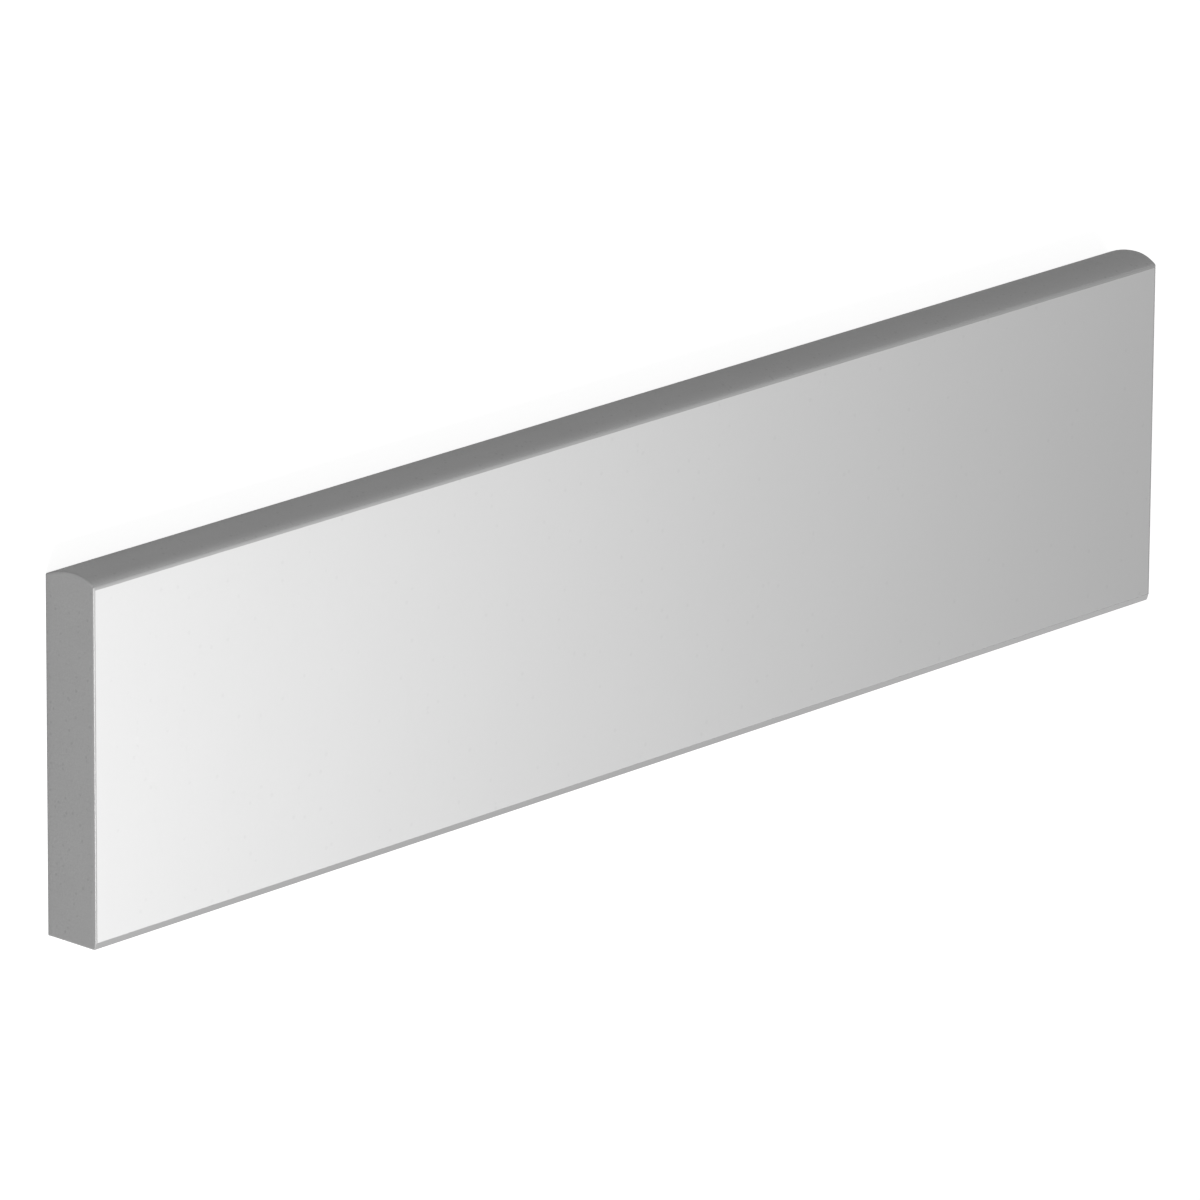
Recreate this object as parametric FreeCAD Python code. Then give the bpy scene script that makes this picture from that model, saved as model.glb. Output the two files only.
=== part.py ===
import FreeCAD
import Part
import math
import os

# A bullnose trim tile, pressed and fired in one piece. It lies face up on its keyed back.
# X runs along the tile, -Y points out of the rounded nose and +Z out of the glazed face.
# The origin lies on the bedding plane, under the middle of the tile's outline. Sizes are in mm.

# Overall sizes
length = 330.0
height = 80.0  # from the foot edge to the crest of the nose
thickness = 14.0  # from the bedding plane to the face

# Nose: a crowned edge, highest at its crest, that falls away to the back and to the face
crest_from_face = 5.8
fall_to_back = 2.0
fall_to_face = 2.0
nose_arris_radius = 0.6  # turns the nose into the face

# Eased edges of the pressed face and of the back
foot_bevel_height = 1.6  # measured down the face
foot_bevel_depth = 0.5
arris_radius = 0.4
back_chamfer = 0.3

# Keys: shallow drafted pockets that a lattice of ribs leaves in the back, inside a plain rim
rim_width = 6.0
rib_width = 3.0
key_pitch = 23.0  # about; the pockets share the field evenly
key_depth = 1.0
key_draft_deg = 30.0
key_corner_radius = 2.5


def section_point(y, z):
    """A point of the section at the tile's left end."""
    return FreeCAD.Vector(-length / 2, y, z)


def crown_radius(run, fall):
    """Radius of an arc that is level at the crest and has dropped by fall after run."""
    return (run**2 + fall**2) / (2 * fall)


def arc_edge(centre, radius, start, end):
    """Arc about a section point, from one angle to another. Angle 0 is +Y and 90 degrees +Z."""
    points = []
    for angle in (start, (start + end) / 2, end):
        y = centre.y + radius * math.cos(angle)
        z = centre.z + radius * math.sin(angle)
        points.append(section_point(y, z))
    return Part.Arc(*points).toShape()


def nose_edges():
    """The nose from the face, over its crest, to the back: arris, face side and back side."""
    crest_z = thickness - crest_from_face
    face_radius = crown_radius(crest_from_face, fall_to_face)
    back_radius = crown_radius(crest_z, fall_to_back)
    face_centre = section_point(face_radius - height / 2, crest_z)
    back_centre = section_point(back_radius - height / 2, crest_z)
    # The arris lies inside the face-side arc and touches both that arc and the face
    rise = crest_from_face - nose_arris_radius
    reach = math.sqrt((face_radius - nose_arris_radius) ** 2 - rise**2)
    arris_centre = section_point(face_centre.y - reach, thickness - nose_arris_radius)
    arris_end = math.pi - math.atan2(rise, reach)
    back_end = math.pi + math.asin(crest_z / back_radius)
    return [
        arc_edge(arris_centre, nose_arris_radius, math.pi / 2, arris_end),
        arc_edge(face_centre, face_radius, arris_end, math.pi),
        arc_edge(back_centre, back_radius, math.pi, back_end),
    ]


def tile_section():
    """The closed outline that is the same all along the tile."""
    nose = nose_edges()
    foot = height / 2
    corners = [
        nose[-1].Vertexes[-1].Point,
        section_point(foot, 0),
        section_point(foot, thickness - foot_bevel_depth),
        section_point(foot - foot_bevel_height, thickness),
        nose[0].Vertexes[0].Point,
    ]
    flats = [Part.LineSegment(a, b).toShape() for a, b in zip(corners, corners[1:])]
    return Part.Face(Part.Wire(flats + nose))


def edges_at(edges, **places):
    """Those edges whose ends all lie at the given coordinates, such as z=0."""
    near = Part.Precision.confusion()
    return [
        edge
        for edge in edges
        if all(
            abs(getattr(vertex.Point, axis) - place) < near
            for vertex in edge.Vertexes
            for axis, place in places.items()
        )
    ]


def pressed_blank():
    """The tile with its eased edges, before the keys."""
    blank = tile_section().extrude(FreeCAD.Vector(length, 0, 0))
    pressed_edges = [e for e in blank.Edges if not edges_at([e], z=0)]
    foot = height / 2
    rounded = edges_at(pressed_edges, y=foot, z=thickness - foot_bevel_depth)
    rounded += edges_at(pressed_edges, y=foot - foot_bevel_height, z=thickness)
    for end in (-length / 2, length / 2):
        rounded += edges_at(pressed_edges, x=end)
    blank = blank.makeFillet(arris_radius, rounded)
    return blank.makeChamfer(back_chamfer, edges_at(blank.Edges, z=0))


def rounded_rectangle(width, depth, radius, z):
    """A rectangle about the Z axis, at height z, with round corners."""
    reach_x = width / 2 - radius
    reach_y = depth / 2 - radius
    quarter = math.pi / 2
    corners = []
    # Counter-clockwise from the corner at +X +Y
    for turn, (sx, sy) in enumerate(((1, 1), (-1, 1), (-1, -1), (1, -1))):
        centre = FreeCAD.Vector(sx * reach_x, sy * reach_y, z)
        circle = Part.Circle(centre, FreeCAD.Vector(0, 0, 1), radius)
        corners.append(Part.ArcOfCircle(circle, turn * quarter, (turn + 1) * quarter).toShape())
    edges = []
    for corner, following in zip(corners, corners[1:] + corners[:1]):
        side = Part.LineSegment(corner.Vertexes[-1].Point, following.Vertexes[0].Point)
        edges += [corner, side.toShape()]
    return Part.Wire(edges)


def key_pocket(width, depth):
    """A cutter for one pocket, about the Z axis. It narrows as it goes into the tile."""
    slope = math.tan(math.radians(key_draft_deg))
    outlines = []
    for z in (-key_depth, key_depth):
        inset = z * slope
        radius = key_corner_radius - inset
        outlines.append(rounded_rectangle(width - 2 * inset, depth - 2 * inset, radius, z))
    return Part.makeLoft(outlines, True, True)


def shared_field(low, high):
    """Centres and size of the pockets that share the stretch between two rims."""
    start = low + rim_width
    field = high - low - 2 * rim_width
    count = round((field + rib_width) / key_pitch)
    pitch = (field + rib_width) / count
    size = pitch - rib_width
    return [start + size / 2 + i * pitch for i in range(count)], size


def key_pockets():
    """Cutters for all the pockets in the flat of the back."""
    nose_back = nose_edges()[-1].Vertexes[-1].Point.y
    columns, width = shared_field(-length / 2, length / 2)
    rows, depth = shared_field(nose_back, height / 2)
    pocket = key_pocket(width, depth)
    return [pocket.translated(FreeCAD.Vector(x, y, 0)) for x in columns for y in rows]


def bullnose_tile():
    """The whole tile as one solid."""
    return pressed_blank().cut(key_pockets()).Solids[0]


os.makedirs("parts", exist_ok=True)
tile = bullnose_tile()
tile.exportStep("parts/bullnose_tile.step")
print(f"bullnose_tile: {tile.Volume / 1000:.1f} cm3, {len(tile.Faces)} faces")
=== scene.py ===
import bpy
import bmesh
import math
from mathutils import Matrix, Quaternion, Vector, noise


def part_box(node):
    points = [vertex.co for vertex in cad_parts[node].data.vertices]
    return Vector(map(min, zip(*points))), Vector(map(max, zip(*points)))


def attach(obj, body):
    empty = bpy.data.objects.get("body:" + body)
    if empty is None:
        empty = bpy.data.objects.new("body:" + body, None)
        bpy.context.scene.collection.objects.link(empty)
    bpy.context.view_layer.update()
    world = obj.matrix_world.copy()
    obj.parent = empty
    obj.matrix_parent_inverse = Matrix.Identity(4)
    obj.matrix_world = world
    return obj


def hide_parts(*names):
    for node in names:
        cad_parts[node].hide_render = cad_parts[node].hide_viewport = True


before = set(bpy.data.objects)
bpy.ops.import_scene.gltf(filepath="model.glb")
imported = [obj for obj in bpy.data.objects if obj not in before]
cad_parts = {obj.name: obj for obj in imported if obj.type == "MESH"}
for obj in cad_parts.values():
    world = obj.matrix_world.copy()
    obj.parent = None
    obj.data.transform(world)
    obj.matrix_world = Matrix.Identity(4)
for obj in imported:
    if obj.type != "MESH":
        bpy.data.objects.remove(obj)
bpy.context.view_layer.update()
low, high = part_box("bullnose_tile")
mm = 0.001
perMetre = 1000.0  # millimetres, for the shaders
print("frame loaded, tile", [round(side * perMetre, 1) for side in high - low], "mm")

# The tile lies face up: X runs along it, the nose is at -Y and the foot edge at +Y.
# Section points are (y, z), and the outline runs back, foot, face, nose.

tileForm = {
    "crestDrop": 5.8 * mm,  # face down to the crest of the nose
    "noseFall": 2.0 * mm,  # crest in to the face's edge, and to the back's
    "noseArris": 0.6 * mm,
    "bevelHeight": 1.6 * mm,  # foot bevel, down the face
    "bevelDepth": 0.5 * mm,
    "arris": 0.4 * mm,  # ends and foot
    "backArris": 0.3 * mm,
    "arrisRun": 1.0 * mm,  # up this height the ends' arris grows from the back's to its own
    "noseSteps": (8, 6, 10),  # round the arris, and down the face side and the back side
    "footSteps": (12, 6, 2, 4),  # up the edge, round its corner, up the bevel, into the face
    "backSteps": 6,  # round each long arris of the back
    "endSteps": 6,  # rings round each end's arris
    "rimLines": [0.3 * mm, 1.0 * mm, 2.5 * mm],  # extra lines beside an arris
    "samePoint": 0.0001 * mm,  # runs that meet this closely share the point
    "weld": 0.003 * mm,  # at a corner of the tile its arrises meet in a point
    "wander": 0.05 * mm,  # how far firing pulls the surface in, at most
    "wanderSize": 35 * mm,
    "flatHeight": 0.5 * mm,  # it fades out below this, so the rim and ribs lie flat
    "glazeFall": 0.05 * mm,  # the glaze thins towards the face's border
    "glazeFallReach": 3.0 * mm,
}

keyForm = {
    "rim": 6.0 * mm,
    "rib": 3.0 * mm,
    "columns": 14,
    "rows": 3,
    "depth": 1.0 * mm,
    "draft": math.radians(30),
    "corner": 2.5 * mm,
    "cornerSteps": 3,  # up to the middle of a corner
    "sideSteps": 4,
    "cornerReach": 4.0 * mm,  # lattice lines crowd together this near to a crossing
    "lip": 0.35 * mm,  # radius where a wall leaves its rib and where it meets the floor
    "lipSteps": 4,
    "lipMargin": 0.15 * mm,  # a line on the rib beside the lip
}

surfaceNames = ["glaze", "nose", "edge", "back"]  # in the order of the tile's materials


def linePoints(start, end, steps):
    return [start.lerp(end, i / steps) for i in range(steps + 1)]


def arcPoints(centre, radius, first, last, steps):
    turns = [first + (last - first) * i / steps for i in range(steps + 1)]
    return [centre + radius * Vector((math.cos(turn), math.sin(turn))) for turn in turns]


def roundedCorner(before, corner, after, radius, steps):
    # an arc tangent to both runs, counter-clockwise
    arriving = (before - corner).normalized()
    leaving = (after - corner).normalized()
    half = arriving.angle(leaving) / 2
    centre = corner + (arriving + leaving).normalized() * radius / math.sin(half)
    start = corner + arriving * radius / math.tan(half) - centre
    first = math.atan2(start.y, start.x)
    return arcPoints(centre, radius, first, first + math.pi - 2 * half, steps)


def joinRuns(*runs):
    points = list(runs[0])
    for run in runs[1:]:
        points += run[1:] if (run[0] - points[-1]).length < tileForm["samePoint"] else run
    return points


def noseSide():
    # from the face, over the arris and the crown, to the back
    crestZ = high.z - tileForm["crestDrop"]
    fall = tileForm["noseFall"]
    faceRadius = (tileForm["crestDrop"] ** 2 + fall**2) / (2 * fall)
    backRadius = (crestZ**2 + fall**2) / (2 * fall)
    faceCentre = Vector((low.y + faceRadius, crestZ))
    backCentre = Vector((low.y + backRadius, crestZ))
    rise = tileForm["crestDrop"] - tileForm["noseArris"]
    reach = math.sqrt((faceRadius - tileForm["noseArris"]) ** 2 - rise**2)
    arrisCentre = Vector((faceCentre.x - reach, high.z - tileForm["noseArris"]))
    arrisEnd = math.pi - math.atan2(rise, reach)
    backEnd = math.pi + math.asin(crestZ / backRadius)
    aroundArris, downFace, downBack = tileForm["noseSteps"]
    crown = joinRuns(
        arcPoints(arrisCentre, tileForm["noseArris"], math.pi / 2, arrisEnd, aroundArris),
        arcPoints(faceCentre, faceRadius, arrisEnd, math.pi, downFace),
        arcPoints(backCentre, backRadius, math.pi, backEnd, downBack),
    )
    corner = crown.pop()
    foot = Vector((high.y, low.z))
    backArris = roundedCorner(crown[-1], corner, foot, tileForm["backArris"], tileForm["backSteps"])
    return joinRuns(crown, backArris)


def footSide():
    # from the back, up the edge and over its bevel, to the face
    backMiddle = Vector((0, low.z))
    backCorner = Vector((high.y, low.z))
    bevelFoot = Vector((high.y, high.z - tileForm["bevelDepth"]))
    bevelHead = Vector((high.y - tileForm["bevelHeight"], high.z))
    faceMiddle = Vector((0, high.z))
    upEdge, aroundCorner, upBevel, intoFace = tileForm["footSteps"]
    first = roundedCorner(backMiddle, backCorner, bevelFoot, tileForm["backArris"], tileForm["backSteps"])
    second = roundedCorner(backCorner, bevelFoot, bevelHead, tileForm["arris"], aroundCorner)
    third = roundedCorner(bevelFoot, bevelHead, faceMiddle, tileForm["arris"], intoFace)
    upright = linePoints(first[-1], second[0], upEdge)
    bevel = linePoints(second[-1], third[0], upBevel)
    return joinRuns(first, upright, second, bevel, third)


def latticeShares(pitch):
    # lines across one key, as shares of its pitch
    reach = keyForm["cornerReach"] / pitch
    cornerSteps, sideSteps = keyForm["cornerSteps"], keyForm["sideSteps"]
    corner = [reach * i / cornerSteps for i in range(cornerSteps)]
    side = [reach + (1 - 2 * reach) * i / sideSteps for i in range(sideSteps + 1)]
    return corner + side + [1 - share for share in reversed(corner)]


def latticeLines(start, end, count):
    pitch = (end - start) / count
    shares = latticeShares(pitch)
    return [start + pitch * (i + share) for i in range(count) for share in shares[:-1]] + [end]


def withRims(lines, start, end):
    # the lattice lines, then the rim's on both sides, out to the arrises
    rims = tileForm["rimLines"]
    return [start] + [start + d for d in rims] + lines + [end - d for d in reversed(rims)] + [end]


noseLine = noseSide()
footLine = footSide()
spare = keyForm["rim"] - keyForm["rib"] / 2  # the keys' field takes half a rib round it
fieldX = latticeLines(low.x + spare, high.x - spare, keyForm["columns"])
fieldY = latticeLines(low.y + tileForm["noseFall"] + spare, high.y - spare, keyForm["rows"])
linesX = withRims(fieldX, low.x + tileForm["arris"], high.x - tileForm["arris"])
linesY = withRims(fieldY, noseLine[-1].x, footLine[0].x)
keyStart = 1 + len(tileForm["rimLines"])  # the field's first line in linesX and linesY
keySteps = 2 * keyForm["cornerSteps"] + keyForm["sideSteps"]
print("section:", len(noseLine), "points on the nose,", len(footLine), "on the foot edge")


def sectionOutline():
    # (point, outward normal, arris at the ends, surface up to the next point)
    back = [(Vector((y, low.z)), "back") for y in linesY[:-1]]
    glazeStart = tileForm["backSteps"] + tileForm["footSteps"][0] + tileForm["footSteps"][1] // 2
    foot = [(point, "edge" if i < glazeStart else "glaze") for i, point in enumerate(footLine[:-1])]
    faceStart, faceEnd = footLine[-1].x, noseLine[0].x
    across = [(linesY[-1] - y) / (linesY[-1] - linesY[0]) for y in reversed(linesY)]
    faceY = [faceStart + (faceEnd - faceStart) * share for share in across[:-1]]
    face = [(Vector((y, high.z)), "glaze") for y in faceY]
    glazeEnd = tileForm["noseSteps"][0]
    nose = [(point, "glaze" if i < glazeEnd else "nose") for i, point in enumerate(noseLine[:-1])]
    points = back + foot + face + nose
    outline = []
    for i, (point, surface) in enumerate(points):
        along = (points[(i + 1) % len(points)][0] - point).normalized()
        along += (point - points[i - 1][0]).normalized()
        normal = Vector((along.y, -along.x)).normalized()
        share = min(1, max(0, point.y - low.z - tileForm["backArris"]) / tileForm["arrisRun"])
        arris = tileForm["backArris"] + (tileForm["arris"] - tileForm["backArris"]) * share
        outline.append((point, normal, arris, surface))
    return outline


def stations():
    # (x, end, turn): turn goes from 0 on the long sides to a right angle on the end itself
    steps = tileForm["endSteps"]
    turns = [math.pi / 2 * i / steps for i in range(steps + 1)]
    left = [(low.x, -1, turn) for turn in reversed(turns)]
    right = [(high.x, 1, turn) for turn in turns]
    return left + [(x, 0, 0) for x in linesX[1:-1]] + right


def ringPoint(station, entry):
    x, end, turn = station
    point, normal, arris, _ = entry
    x -= end * arris * (1 - math.sin(turn))
    point = point - normal * arris * (1 - math.cos(turn))
    return Vector((x, point.x, point.y))


def addFace(mesh, corners, surface):
    face = mesh.faces.new(corners)
    face.material_index = surfaceNames.index(surface)
    face.smooth = True


def addPatch(mesh, bottom, top, left, right, surface, rows=None):
    # fills four runs of corners that share their ends, by blending across both ways
    # rows says which corners of the left and the right run each row joins
    rows = rows or [(j, j) for j in range(len(left))]
    across, up = len(bottom) - 1, len(rows) - 1
    grid = [list(bottom)]
    for j in range(1, up):
        rise = j / up
        start, end = left[rows[j][0]], right[rows[j][1]]
        row = [start]
        for i in range(1, across):
            run = i / across
            bothWays = start.co.lerp(end.co, run) + bottom[i].co.lerp(top[i].co, rise)
            lower = bottom[0].co.lerp(bottom[across].co, run)
            upper = top[0].co.lerp(top[across].co, run)
            row.append(mesh.verts.new(bothWays - lower.lerp(upper, rise)))
        grid.append(row + [end])
    grid.append(list(top))
    for j in range(up):
        passedLeft = left[rows[j][0] + 1 : rows[j + 1][0]]
        passedRight = right[rows[j][1] + 1 : rows[j + 1][1]]
        for i in range(across):
            corners = [grid[j][i], grid[j][i + 1], grid[j + 1][i + 1], grid[j + 1][i]]
            if i == 0:
                corners += reversed(passedLeft)
            if i == across - 1:
                corners[2:2] = passedRight
            addFace(mesh, corners, surface)


def levelRows(nose, foot):
    # rows of an end: from each step up the foot edge to the nearest height on the nose
    rows = [(0, 0)]
    for step in range(1, tileForm["footSteps"][0] + 1):
        j = tileForm["backSteps"] + step
        gaps = [abs(vert.co.z - foot[j].co.z) for vert in nose]
        rows.append((gaps.index(min(gaps)), j))
    return rows + [(len(nose) - 1, len(foot) - 1)]


def keyLoop(centre, halfX, halfY, radius, depth):
    # a rounded rectangle that starts at the middle of its corner at -X -Y
    steps = keyForm["cornerSteps"]
    points = []
    for turn, (sx, sy) in enumerate(((1, -1), (1, 1), (-1, 1), (-1, -1))):
        corner = Vector((sx * (halfX - radius), sy * (halfY - radius)))
        arc = arcPoints(corner, radius, (turn - 1) * math.pi / 2, turn * math.pi / 2, 2 * steps)
        points.append(arc)
    loop = []
    for arc, following in zip(points[-1:] + points[:-1], points):
        loop += arc[steps:-1] + linePoints(arc[-1], following[0], keyForm["sideSteps"])[:-1]
        loop += following[:steps]
    return [Vector((centre.x + p.x, centre.y + p.y, low.z + depth)) for p in loop]


def wallLine():
    # (distance in from the rib's edge, depth), from the rib down to the pocket's floor
    radius, steps, margin = keyForm["lip"], keyForm["lipSteps"], keyForm["lipMargin"]
    lipCorner = Vector((0, 0))
    floorCorner = Vector((keyForm["depth"] * math.tan(keyForm["draft"]), keyForm["depth"]))
    far = Vector((1, 0))
    lip = roundedCorner(lipCorner - far, lipCorner, floorCorner, radius, steps)
    floor = roundedCorner(floorCorner + far, floorCorner, lipCorner, radius, steps)
    return [lip[0] - far * margin] + lip + floor[::-1]


def addKey(mesh, border):
    # border: the cell's corners in order from -X -Y, along +X first
    xs = [vert.co.x for vert in border]
    ys = [vert.co.y for vert in border]
    centre = Vector(((min(xs) + max(xs)) / 2, (min(ys) + max(ys)) / 2))
    halfX = (max(xs) - min(xs) - keyForm["rib"]) / 2
    halfY = (max(ys) - min(ys) - keyForm["rib"]) / 2
    outer = border
    for inset, depth in wallLine():
        loop = keyLoop(centre, halfX - inset, halfY - inset, keyForm["corner"] - inset, depth)
        inner = [mesh.verts.new(point) for point in loop]
        for i in range(len(inner)):
            following = (i + 1) % len(inner)
            addFace(mesh, (outer[i], outer[following], inner[following], inner[i]), "back")
        outer = inner
    side = keySteps
    outer = outer + outer[:1]
    bottom = outer[: side + 1]
    right = outer[side : 2 * side + 1]
    top = outer[2 * side : 3 * side + 1][::-1]
    left = outer[3 * side : 4 * side + 1][::-1]
    addPatch(mesh, bottom, top, left, right, "back")


def onKeys(lines, index):
    # whether the step from this line to the next crosses the field
    return keyStart <= index < len(lines) - 1 - keyStart


def settle(mesh):
    # firing leaves nothing dead straight; every move goes into the tile
    mesh.normal_update()
    size = tileForm["wanderSize"]
    moves = []
    for vert in mesh.verts:
        move = tileForm["wander"] * (0.5 + 0.5 * noise.noise(vert.co / size))
        border = min(high.x - abs(vert.co.x), high.y - vert.co.y, vert.co.y - low.y)
        thinning = math.exp(-border / tileForm["glazeFallReach"]) * max(0, vert.normal.z) ** 2
        move += tileForm["glazeFall"] * thinning
        moves.append(move * min(1, (vert.co.z - low.z) / tileForm["flatHeight"]))
    for vert, move in zip(mesh.verts, moves):
        vert.co -= vert.normal * move


def buildTile():
    mesh = bmesh.new()
    outline = sectionOutline()
    rings = []
    for station in stations():
        rings.append([mesh.verts.new(ringPoint(station, entry)) for entry in outline])
    extra = tileForm["endSteps"]  # rings before linesX begins
    for j in range(len(rings) - 1):
        keyed = onKeys(linesX, j - extra)
        for i, entry in enumerate(outline):
            if keyed and i < len(linesY) - 1 and onKeys(linesY, i):
                continue
            following = (i + 1) % len(outline)
            corners = (rings[j][i], rings[j][following], rings[j + 1][following], rings[j + 1][i])
            addFace(mesh, corners, entry[3])
    across = len(linesY) - 1
    through = len(footLine) - 1
    for ring in (rings[0], rings[-1]):
        loop = ring + ring[:1]
        back = loop[: across + 1]
        foot = loop[across : across + through + 1]
        face = loop[across + through : 2 * across + through + 1][::-1]
        nose = loop[2 * across + through :][::-1]
        addPatch(mesh, back, face, nose, foot, "edge", levelRows(nose, foot))
    for column in range(keyForm["columns"]):
        for row in range(keyForm["rows"]):
            x0 = extra + keyStart + column * keySteps
            y0 = keyStart + row * keySteps
            x1, y1 = x0 + keySteps, y0 + keySteps
            border = [rings[x][y0] for x in range(x0, x1)]
            border += [rings[x1][y] for y in range(y0, y1)]
            border += [rings[x][y1] for x in range(x1, x0, -1)]
            border += [rings[x0][y] for y in range(y1, y0, -1)]
            addKey(mesh, border)
    loose = [vert for vert in mesh.verts if not vert.link_faces]
    bmesh.ops.delete(mesh, geom=loose, context="VERTS")
    bmesh.ops.remove_doubles(mesh, verts=mesh.verts, dist=tileForm["weld"])
    bmesh.ops.recalc_face_normals(mesh, faces=mesh.faces)
    settle(mesh)
    data = bpy.data.meshes.new("bullnoseTile")
    mesh.to_mesh(data)
    mesh.free()
    tile = bpy.data.objects.new("bullnoseTile", data)
    bpy.context.scene.collection.objects.link(tile)
    return tile


tile = buildTile()
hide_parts("bullnose_tile")
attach(tile, "root")
print("tile mesh:", len(tile.data.vertices), "corners,", len(tile.data.polygons), "faces")


def newGroup(name, inputs, outputs):
    group = bpy.data.node_groups.new(name, "ShaderNodeTree")
    for label, value in inputs.items():
        kind = "NodeSocketVector" if value is None else "NodeSocketFloat"
        socket = group.interface.new_socket(label, in_out="INPUT", socket_type=kind)
        if value is not None:
            socket.default_value = value
    for label in outputs:
        group.interface.new_socket(label, in_out="OUTPUT", socket_type="NodeSocketFloat")
    return group, group.nodes.new("NodeGroupInput").outputs, group.nodes.new("NodeGroupOutput").inputs


def addNode(tree, kind, inputs, **settings):
    # an input is given a value, or the socket that feeds it
    node = tree.nodes.new(kind)
    for name, value in settings.items():
        setattr(node, name, value)
    for name, value in inputs.items():
        if isinstance(value, bpy.types.NodeSocket):
            tree.links.new(value, node.inputs[name])
        else:
            node.inputs[name].default_value = value
    return node


def calc(tree, operation, *values):
    return addNode(tree, "ShaderNodeMath", dict(enumerate(values)), operation=operation).outputs[0]


def swing(tree, value, amount):
    # a 0 to 1 pattern as a swing of this size about 0
    return calc(tree, "MULTIPLY", calc(tree, "SUBTRACT", value, 0.5), amount)


grainForm = {
    "detail": 3.0,
    "roughness": 0.6,
    "mottleDetail": 2.0,
    "fleckRim": (0.38, 0.15),  # a fleck fades in between these distances, as shares of its cell
    "fleckDent": 0.4,  # against the grain's height
}


def makeGrainGroup(form):
    # fired clay: fine grain, slow mottling and a few darker flecks; sizes in mm
    sizes = {"Vector": None, "Grain Size": 0.5, "Grain": 0.05, "Mottle Size": 20.0, "Mottle": 0.03}
    sizes |= {"Fleck Size": 1.5, "Fleck Cover": 0.15, "Fleck": 0.1}
    group, given, result = newGroup("firedGrain", sizes, ["Tone", "Height"])
    place = given["Vector"]
    scales = {}
    for name in ("Grain", "Mottle", "Fleck"):
        scales[name] = calc(group, "DIVIDE", perMetre, given[name + " Size"])
    grain = addNode(
        group, "ShaderNodeTexNoise",
        {"Vector": place, "Scale": scales["Grain"],
         "Detail": form["detail"], "Roughness": form["roughness"]},
    ).outputs[0]
    mottle = addNode(
        group, "ShaderNodeTexNoise",
        {"Vector": place, "Scale": scales["Mottle"], "Detail": form["mottleDetail"]},
    ).outputs[0]
    cells = addNode(group, "ShaderNodeTexVoronoi", {"Vector": place, "Scale": scales["Fleck"]})
    chance = addNode(group, "ShaderNodeSeparateColor", {"Color": cells.outputs["Color"]}).outputs[0]
    chosen = calc(group, "LESS_THAN", chance, given["Fleck Cover"])
    outside, inside = form["fleckRim"]
    spot = addNode(
        group, "ShaderNodeMapRange",
        {"Value": cells.outputs["Distance"], "From Min": outside, "From Max": inside},
        interpolation_type="SMOOTHSTEP",
    ).outputs[0]
    fleck = calc(group, "MULTIPLY", chosen, spot)
    tone = calc(group, "ADD", 1.0, swing(group, grain, given["Grain"]))
    tone = calc(group, "ADD", tone, swing(group, mottle, given["Mottle"]))
    tone = calc(group, "SUBTRACT", tone, calc(group, "MULTIPLY", fleck, given["Fleck"]))
    height = calc(group, "SUBTRACT", grain, calc(group, "MULTIPLY", fleck, form["fleckDent"]))
    group.links.new(tone, result["Tone"])
    group.links.new(height, result["Height"])
    return group


def makeEdgeGroup():
    # 0 outside a line and 1 inside it, where the line wanders; distances in mm
    group, given, result = newGroup(
        "wanderingEdge",
        {"Vector": None, "Distance": 0.0, "Wander": 0.3, "Wander Size": 4.0, "Softness": 0.3},
        ["Mask"],
    )
    scale = calc(group, "DIVIDE", perMetre, given["Wander Size"])
    drift = addNode(
        group, "ShaderNodeTexNoise", {"Vector": given["Vector"], "Scale": scale, "Detail": 3.0}
    ).outputs[0]
    inside = calc(group, "ADD", given["Distance"], swing(group, drift, given["Wander"]))
    outer = calc(group, "MULTIPLY", given["Softness"], -0.5)
    inner = calc(group, "MULTIPLY", given["Softness"], 0.5)
    mask = addNode(
        group, "ShaderNodeMapRange",
        {"Value": inside, "From Min": outer, "From Max": inner},
        interpolation_type="SMOOTHSTEP",
    ).outputs[0]
    group.links.new(mask, result["Mask"])
    return group


grainGroup = makeGrainGroup(grainForm)
edgeGroup = makeEdgeGroup()

glazeLook = {
    "colour": (0.60, 0.60, 0.60),
    "thinColour": (0.235, 0.235, 0.235),  # it breaks darker over the nose's arris
    "thinFootGlazeAndShade": (0.172, 0.172, 0.172),  # darker still over the foot's bevel: painted shade that offsets the key lamp, which faces the bevel
    "grain": {"Grain Size": 0.9, "Grain": 0.02, "Mottle Size": 30.0, "Mottle": 0.02,
              "Fleck Size": 1.6, "Fleck Cover": 0.06, "Fleck": 0.04},
    "edge": {"Wander": 0.10, "Softness": 0.15},  # mm, of the line where the thin glaze ends
    "endReach": 0.55,  # mm of thin glaze along each side of the face
    "footReach": 1.65,
    "noseReach": 2.7,  # from the crest
    "roughness": (0.50, 0.34),  # where the glaze is thin, where it is full
    "specular": 0.4,
    "coat": (1.0, 0.10),  # where it is thin, where it is full
    "coatRoughness": 0.50,
    "coatIor": 2.0,  # high, so that the thin edges catch the light
    "peelSize": 3.5,
    "peelDepth": 0.02 * mm,
}

noseLook = {
    # darker than the glaze: the bare body's own grey, with part of the nose's shade painted in
    "colour": (0.488, 0.488, 0.488),
    "grain": {"Grain Size": 0.5, "Grain": 0.12, "Mottle Size": 14.0, "Mottle": 0.05,
              "Fleck Size": 1.1, "Fleck Cover": 0.20, "Fleck": 0.10},
    "roughness": (0.62, 0.74),  # in the grain's dips, on its peaks
    "specular": 0.15,
    "streak": (0.05, 1.0, 1.0),  # grinding runs along the tile
    "streakSize": 0.35,
    "streakDepth": 0.010 * mm,
    "grainDepth": 0.010 * mm,
}

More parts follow.
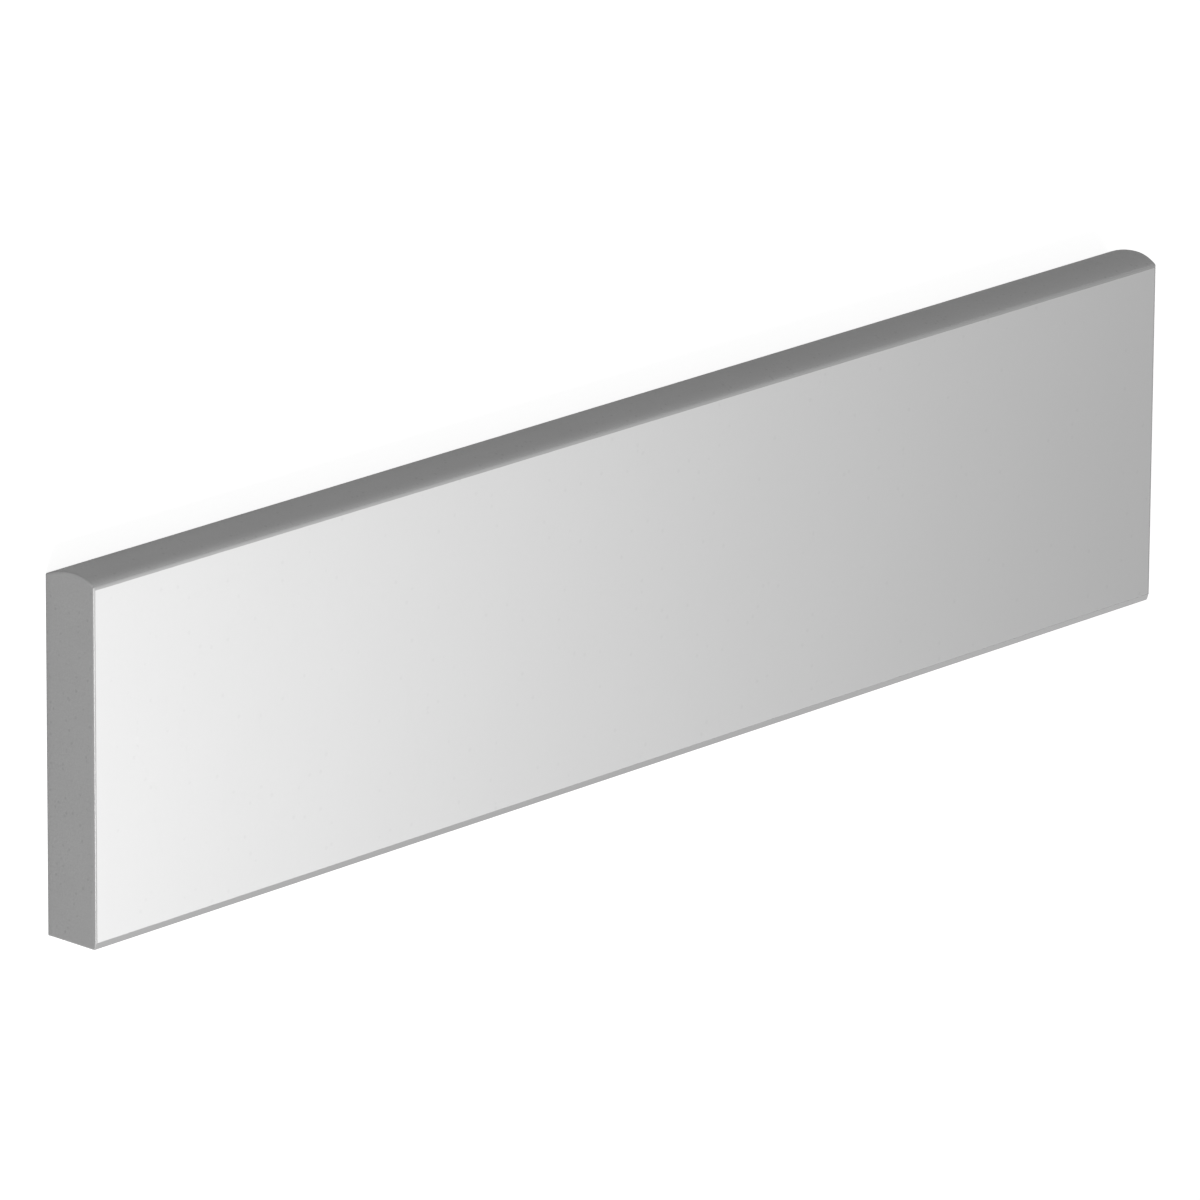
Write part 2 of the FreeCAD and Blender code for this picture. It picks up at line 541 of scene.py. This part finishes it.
edgeLook = {
    # darker than the glaze: the bare body's own grey, with part of the ends' shade painted in
    "colour": (0.465, 0.465, 0.465),
    "grain": {"Grain Size": 0.6, "Grain": 0.16, "Mottle Size": 10.0, "Mottle": 0.06,
              "Fleck Size": 1.3, "Fleck Cover": 0.25, "Fleck": 0.10},
    "roughness": (0.72, 0.85),
    "specular": 0.3,
    "streak": (1.0, 1.0, 0.08),  # the die drags along the press stroke
    "streakSize": 0.8,
    "streakDepth": 0.02 * mm,
    "grainDepth": 0.04 * mm,
}

backLook = {
    "colour": (0.45, 0.45, 0.45),
    "grain": {"Grain Size": 0.8, "Grain": 0.18, "Mottle Size": 16.0, "Mottle": 0.08,
              "Fleck Size": 1.6, "Fleck Cover": 0.30, "Fleck": 0.10},
    "roughness": (0.80, 0.92),
    "specular": 0.25,
    "streak": (1.0, 1.0, 1.0),
    "streakSize": 2.5,
    "streakDepth": 0.03 * mm,
    "grainDepth": 0.05 * mm,
}


def newMaterial(name):
    material = bpy.data.materials.new(name)
    material.use_nodes = True
    tree = material.node_tree
    tree.nodes.clear()
    shader = tree.nodes.new("ShaderNodeBsdfPrincipled")
    output = tree.nodes.new("ShaderNodeOutputMaterial")
    tree.links.new(shader.outputs[0], output.inputs["Surface"])
    return material, tree, shader


def onTile(tree):
    return addNode(tree, "ShaderNodeTexCoord", {}).outputs["Object"]


def placeGroup(tree, group, inputs):
    return addNode(tree, "ShaderNodeGroup", inputs, node_tree=group).outputs


def toned(tree, colour, tone):
    return addNode(tree, "ShaderNodeVectorMath", {0: colour, "Scale": tone}, operation="SCALE").outputs[0]


def blended(tree, share, first, second):
    # a Mix node's inputs 6 and 7 are its colours, and its output 2 is the blend
    node = addNode(tree, "ShaderNodeMix", {"Factor": share}, data_type="RGBA")
    for socket, value in ((node.inputs[6], first), (node.inputs[7], second)):
        if isinstance(value, bpy.types.NodeSocket):
            tree.links.new(value, socket)
        else:
            socket.default_value = (*value, 1)
    return node.outputs[2]


def between(tree, share, ends):
    # from the first of both ends, at 0, to the second, at 1
    inputs = {"Value": share, "To Min": ends[0], "To Max": ends[1]}
    return addNode(tree, "ShaderNodeMapRange", inputs).outputs[0]


def makeGlaze(look):
    material, tree, shader = newMaterial("satinGlaze")
    place = onTile(tree)
    grain = placeGroup(tree, grainGroup, {"Vector": place, **look["grain"]})
    axes = addNode(tree, "ShaderNodeSeparateXYZ", {0: place}).outputs
    # millimetres in from the line where each side's thin glaze ends
    thinAtEnd = high.x * perMetre - look["endReach"]
    thinAtFoot = high.y * perMetre - look["footReach"]
    thinAtNose = -low.y * perMetre - look["noseReach"]
    fromEnd = calc(tree, "MULTIPLY_ADD", calc(tree, "ABSOLUTE", axes[0]), -perMetre, thinAtEnd)
    fromFoot = calc(tree, "MULTIPLY_ADD", axes[1], -perMetre, thinAtFoot)
    fromNose = calc(tree, "MULTIPLY_ADD", axes[1], perMetre, thinAtNose)
    nearest = calc(tree, "MINIMUM", fromEnd, calc(tree, "MINIMUM", fromFoot, fromNose))
    edge = placeGroup(tree, edgeGroup, {"Vector": place, "Distance": nearest, **look["edge"]})
    cover = edge["Mask"]
    # the thin glaze darkens from the nose towards the foot: painted shade against the key lamp on the
    # foot's bevel
    shadeTowardsFoot = addNode(
        tree, "ShaderNodeMapRange", {"Value": axes[1], "From Min": low.y, "From Max": high.y}
    ).outputs[0]
    thinGlazeAndShade = blended(tree, shadeTowardsFoot, look["thinColour"], look["thinFootGlazeAndShade"])
    colour = blended(tree, cover, thinGlazeAndShade, look["colour"])
    tree.links.new(toned(tree, colour, grain["Tone"]), shader.inputs["Base Color"])
    tree.links.new(between(tree, cover, look["roughness"]), shader.inputs["Roughness"])
    tree.links.new(between(tree, cover, look["coat"]), shader.inputs["Coat Weight"])
    shader.inputs["Coat Roughness"].default_value = look["coatRoughness"]
    shader.inputs["Coat IOR"].default_value = look["coatIor"]
    shader.inputs["Specular IOR Level"].default_value = look["specular"]
    peel = addNode(
        tree, "ShaderNodeTexNoise", {"Vector": place, "Scale": perMetre / look["peelSize"], "Detail": 1.0}
    ).outputs[0]
    bump = addNode(tree, "ShaderNodeBump", {"Height": peel, "Distance": look["peelDepth"]})
    tree.links.new(bump.outputs[0], shader.inputs["Normal"])
    return material


def makeBody(name, look):
    material, tree, shader = newMaterial(name)
    place = onTile(tree)
    grain = placeGroup(tree, grainGroup, {"Vector": place, **look["grain"]})
    tree.links.new(toned(tree, look["colour"], grain["Tone"]), shader.inputs["Base Color"])
    tree.links.new(between(tree, grain["Height"], look["roughness"]), shader.inputs["Roughness"])
    shader.inputs["Specular IOR Level"].default_value = look["specular"]
    along = addNode(
        tree, "ShaderNodeVectorMath", {0: place, 1: look["streak"]}, operation="MULTIPLY"
    ).outputs[0]
    streaks = addNode(
        tree, "ShaderNodeTexNoise", {"Vector": along, "Scale": perMetre / look["streakSize"], "Detail": 2.0}
    ).outputs[0]
    first = addNode(tree, "ShaderNodeBump", {"Height": streaks, "Distance": look["streakDepth"]})
    second = addNode(
        tree, "ShaderNodeBump",
        {"Height": grain["Height"], "Distance": look["grainDepth"], "Normal": first.outputs[0]},
    )
    tree.links.new(second.outputs[0], shader.inputs["Normal"])
    return material


tile.data.materials.append(makeGlaze(glazeLook))
tile.data.materials.append(makeBody("honedNose", noseLook))
tile.data.materials.append(makeBody("pressedEdge", edgeLook))
tile.data.materials.append(makeBody("keyedBack", backLook))
print("materials made:", [material.name for material in tile.data.materials])

cameraView = {
    "azimuth": math.radians(66.40),  # 0 looks along +Y, 90 along -X
    "elevation": math.radians(40.55),
    "roll": math.radians(106.25),  # turns the picture so that the nose is on top
    "distance": 2.621,
    "aim": Vector((3.95, 3.57, 4.00)) * mm,
    "lens": 368.8,
    "sensor": 36.0,
    "farthest": 100.0,
}

studio = {
    "world": 0.415,  # strength for everything but the background
    "floorColour": (0.30, 0.30, 0.30, 1),
    "floorGlow": 0.885,  # only where it is seen directly, and makes its colour up to white
    "floorSize": 60.0,
    "floorGap": 0.02 * mm,  # under the tile
}

keyLamp = {
    "place": Vector((0.38, 0.45, 0.96)),  # high up, beyond the near end and out from the foot edge
    "aim": Vector((0.395, -0.08, 0)),
    "size": 0.30,
    "spread": math.radians(65.2),  # a grid on the lamp, so that it fades along the tile
    "power": 2.33,
}

rimLamp = {
    "place": Vector((-0.583, 0.411, 0.23)),  # low, beyond the far end, in line with the foot's bevel
    "aim": Vector((-0.165, 0.039, 0.0135)),
    "size": 0.20,
    "spread": math.radians(180),
    "power": 0.40,
}

fillLamp = {
    "place": Vector((-0.435, -0.378, 0.134)),  # low, out from the nose
    "aim": Vector((-0.165, -0.04, 0.008)),
    "size": 0.20,
    "spread": math.radians(180),
    "power": 0.15,
}


def addCamera(view):
    camera = bpy.data.objects.new("camera", bpy.data.cameras.new("camera"))
    bpy.context.scene.collection.objects.link(camera)
    back = Vector((
        math.sin(view["azimuth"]) * math.cos(view["elevation"]),
        -math.cos(view["azimuth"]) * math.cos(view["elevation"]),
        math.sin(view["elevation"]),
    ))
    camera.location = view["aim"] + back * view["distance"]
    camera.rotation_mode = "QUATERNION"
    level = (-back).to_track_quat("-Z", "Y")
    camera.rotation_quaternion = level @ Quaternion((0, 0, 1), view["roll"])
    camera.data.sensor_width = view["sensor"]
    camera.data.lens = view["lens"]
    camera.data.clip_end = view["farthest"]
    bpy.context.scene.camera = camera


def seenDirectly(tree):
    # 1 for what the camera, a reflection or a see-through surface shows, 0 for what lights the tile
    path = tree.nodes.new("ShaderNodeLightPath").outputs
    seen = calc(tree, "MAXIMUM", path["Is Camera Ray"], path["Is Glossy Ray"])
    return calc(tree, "MAXIMUM", seen, path["Is Transmission Ray"])


def addFloor(studio):
    mesh = bmesh.new()
    bmesh.ops.create_grid(mesh, x_segments=1, y_segments=1, size=studio["floorSize"] / 2)
    data = bpy.data.meshes.new("floor")
    mesh.to_mesh(data)
    mesh.free()
    floor = bpy.data.objects.new("floor", data)
    floor.location.z = low.z - studio["floorGap"]
    bpy.context.scene.collection.objects.link(floor)
    material, tree, shader = newMaterial("paleFloor")
    glow = calc(tree, "MULTIPLY", seenDirectly(tree), studio["floorGlow"])
    tree.links.new(glow, shader.inputs["Emission Strength"])
    shader.inputs["Emission Color"].default_value = (1, 1, 1, 1)
    shader.inputs["Base Color"].default_value = studio["floorColour"]
    shader.inputs["Specular IOR Level"].default_value = 0
    shader.inputs["Roughness"].default_value = 1
    data.materials.append(material)


def addWorld(studio):
    world = bpy.data.worlds.new("studio")
    bpy.context.scene.world = world
    world.use_nodes = True
    tree = world.node_tree
    tree.nodes.clear()
    strength = between(tree, seenDirectly(tree), (studio["world"], 1.0))
    background = addNode(tree, "ShaderNodeBackground", {"Color": (1, 1, 1, 1), "Strength": strength})
    output = tree.nodes.new("ShaderNodeOutputWorld")
    tree.links.new(background.outputs[0], output.inputs["Surface"])


def addLamp(name, settings):
    data = bpy.data.lights.new(name, "AREA")
    data.shape = "DISK"
    data.size = settings["size"]
    data.spread = settings["spread"]
    data.energy = settings["power"]
    lamp = bpy.data.objects.new(name, data)
    lamp.location = settings["place"]
    lamp.rotation_mode = "QUATERNION"
    lamp.rotation_quaternion = (settings["aim"] - settings["place"]).to_track_quat("-Z", "Y")
    lamp.visible_camera = False
    bpy.context.scene.collection.objects.link(lamp)


addCamera(cameraView)
addFloor(studio)
addWorld(studio)
addLamp("keyLamp", keyLamp)
addLamp("rimLamp", rimLamp)
addLamp("fillLamp", fillLamp)
bpy.context.scene.view_settings.view_transform = "Standard"
print("camera, floor, world and lamps placed")
